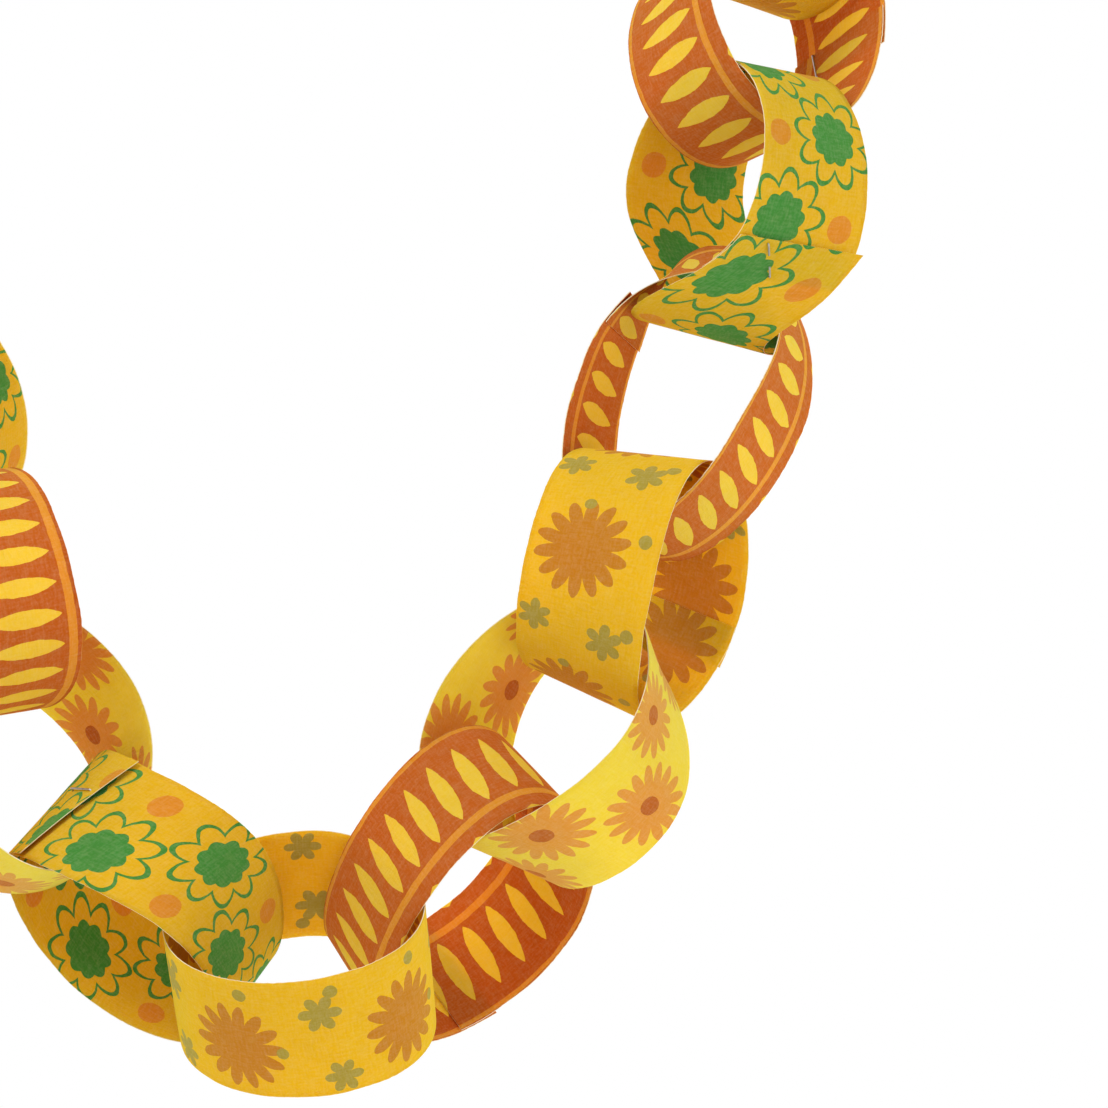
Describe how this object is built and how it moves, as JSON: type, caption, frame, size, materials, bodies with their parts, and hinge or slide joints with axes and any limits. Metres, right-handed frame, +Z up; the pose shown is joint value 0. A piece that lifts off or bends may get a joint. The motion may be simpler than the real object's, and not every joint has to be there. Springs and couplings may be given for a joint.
{
  "type": "paper chain garland",
  "caption": "Swag of a garland made from printed paper strips, each bent into a loop through the one before and closed by a lapped joint, glued or stapled.",
  "frame": {"origin": "top of the inside of link_12_gold's loop, where a hook holds the garland", "axes": "+Z up, +Y away from the viewer, +X to the viewer's right; the garland hangs in the XZ plane"},
  "size_m": [0.2907, 0.114, 0.3446],
  "materials": {
    "paper_green": "printed matt paper, white pulp at the cut edges",
    "paper_rust": "printed matt paper, white pulp at the cut edges",
    "paper_lemon": "printed matt paper, white pulp at the cut edges",
    "paper_gold": "printed matt paper, white pulp at the cut edges",
    "staple_steel": "bright drawn wire"
  },
  "bodies": {
    "root": {"link_01_green": "paper_green", "link_02_rust": "paper_rust", "link_03_lemon": "paper_lemon", "link_04_green": "paper_green", "link_05_gold": "paper_gold", "link_06_rust": "paper_rust", "link_07_lemon": "paper_lemon", "link_08_gold": "paper_gold", "link_09_rust": "paper_rust", "link_10_green": "paper_green", "link_11_rust": "paper_rust", "link_12_gold": "paper_gold", "staple_04": "staple_steel", "staple_10": "staple_steel", "staple_11": "staple_steel"}
  },
  "joints": []
}
